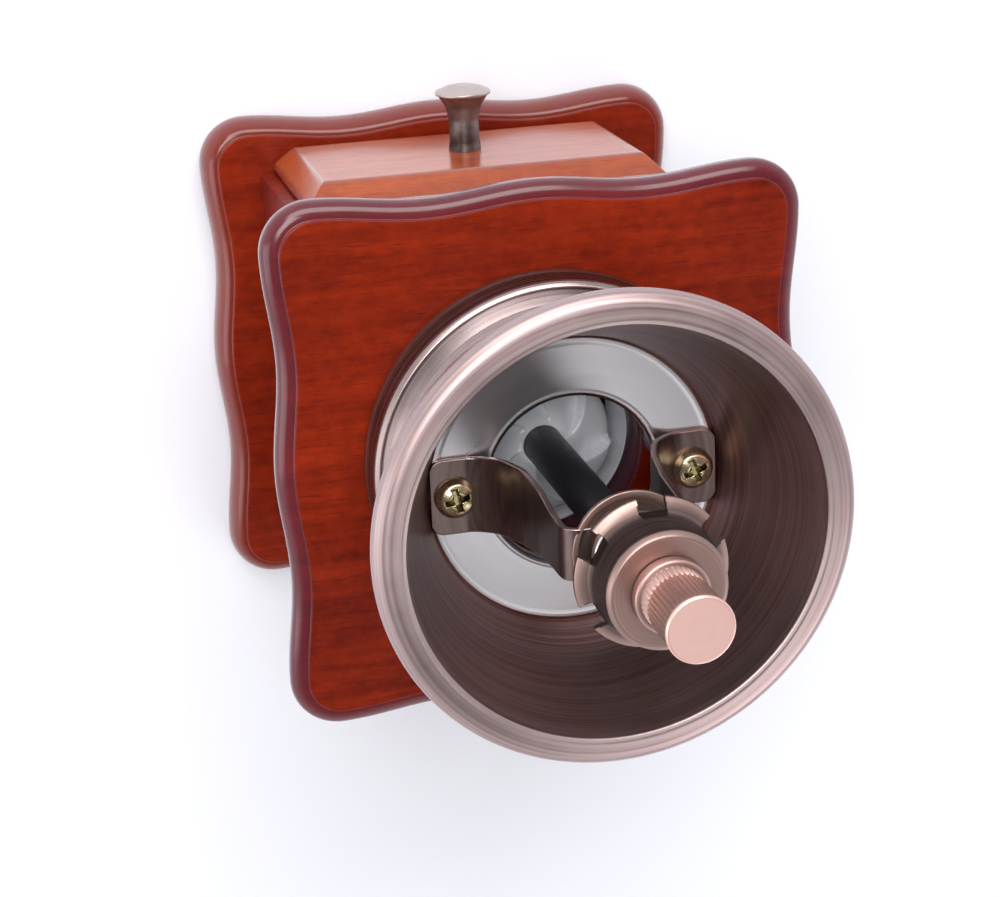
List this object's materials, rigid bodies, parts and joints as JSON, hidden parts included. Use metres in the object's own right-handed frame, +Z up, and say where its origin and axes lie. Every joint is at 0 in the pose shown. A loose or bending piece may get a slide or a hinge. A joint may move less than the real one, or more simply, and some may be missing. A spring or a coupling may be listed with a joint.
{
  "type": "burr coffee grinder",
  "caption": "Manual burr coffee grinder: wooden box with wavy-edged plates, front drawer, spun copper hopper, bridged grinding shaft with notched adjusting wheel and knurled nut.",
  "frame": {"origin": "centre of the base plate's underside, on the grinding shaft's axis", "axes": "+Z up along the shaft, -Y the way the drawer opens, +X to the right seen from the drawer side"},
  "size_m": [0.115, 0.124, 0.1985],
  "materials": {
    "lacquered_wood": "glossy",
    "drawer_wood": "satin",
    "antique_copper": "brushed",
    "dark_bronze": "satin",
    "bright_steel": "brushed",
    "zinc_steel": "satin",
    "brass_plate": "glossy",
    "black_steel": "satin",
    "ceramic": "glossy",
    "cast_iron": "matte",
    "bush_bronze": "satin"
  },
  "bodies": {
    "case": {"base_plate": "lacquered_wood", "top_plate": "lacquered_wood", "left_wall": "lacquered_wood", "right_wall": "lacquered_wood", "back_wall": "lacquered_wood", "front_panel": "lacquered_wood", "top_dowels": "drawer_wood", "base_screws": "zinc_steel", "bracket_screws": "zinc_steel", "hopper_bowl": "antique_copper", "hopper_collar": "antique_copper", "hopper_floor": "bright_steel", "spacer_posts": "zinc_steel", "bridge": "antique_copper", "bridge_screws": "brass_plate", "bridge_bush": "bush_bronze", "outer_burr": "ceramic", "burr_housing": "cast_iron", "lower_bracket": "zinc_steel", "lower_bush": "bush_bronze", "burr_spring": "bright_steel"},
    "drawer": {"drawer_front": "lacquered_wood", "drawer_left_side": "drawer_wood", "drawer_right_side": "drawer_wood", "drawer_back": "drawer_wood", "drawer_bottom": "drawer_wood", "drawer_knob": "dark_bronze", "knob_screw": "zinc_steel"},
    "spring_seat": {"spring_collar": "zinc_steel"},
    "spindle": {"shaft": "black_steel", "drive_pin": "zinc_steel", "inner_burr": "ceramic", "burr_nut": "zinc_steel", "lock_nut": "zinc_steel"},
    "thrust": {"thrust_washer": "bright_steel"},
    "wheel": {"adjusting_wheel": "antique_copper"},
    "nut_seat": {"nut_collar": "antique_copper"},
    "nut": {"cap_nut": "antique_copper"}
  },
  "joints": [
    {"name": "drawer_slide", "type": "slide", "parent": "case", "child": "drawer", "axis": [0, -1, 0], "range_m": [0, 0.07]},
    {"name": "burr_lift", "type": "slide", "parent": "case", "child": "spring_seat", "axis": [0, 0, 1], "range_m": [0, 0.0015], "deforming": ["burr_spring"]},
    {"name": "grind_spin", "type": "hinge", "parent": "spring_seat", "child": "spindle", "pos_m": [0, 0, 0.1], "axis": [0, 0, -1], "continuous": true},
    {"name": "wheel_travel", "type": "slide", "parent": "spindle", "child": "thrust", "axis": [0, 0, -1], "range_m": [0, 0.0015]},
    {"name": "grind_adjust", "type": "hinge", "parent": "thrust", "child": "wheel", "pos_m": [0, 0, 0.172], "axis": [0, 0, -1], "range_deg": [0, 540.01]},
    {"name": "nut_travel", "type": "slide", "parent": "spindle", "child": "nut_seat", "axis": [0, 0, 1], "range_m": [0, 0.006]},
    {"name": "nut_turn", "type": "hinge", "parent": "nut_seat", "child": "nut", "pos_m": [0, 0, 0.19], "axis": [0, 0, 1], "range_deg": [0, 2160.01]}
  ],
  "couplings": [
    {"joint": "grind_adjust", "follows": "burr_lift", "rad_per_m": 6283.2},
    {"joint": "wheel_travel", "follows": "burr_lift", "ratio": 1},
    {"joint": "nut_turn", "follows": "nut_travel", "rad_per_m": 6283.2}
  ]
}
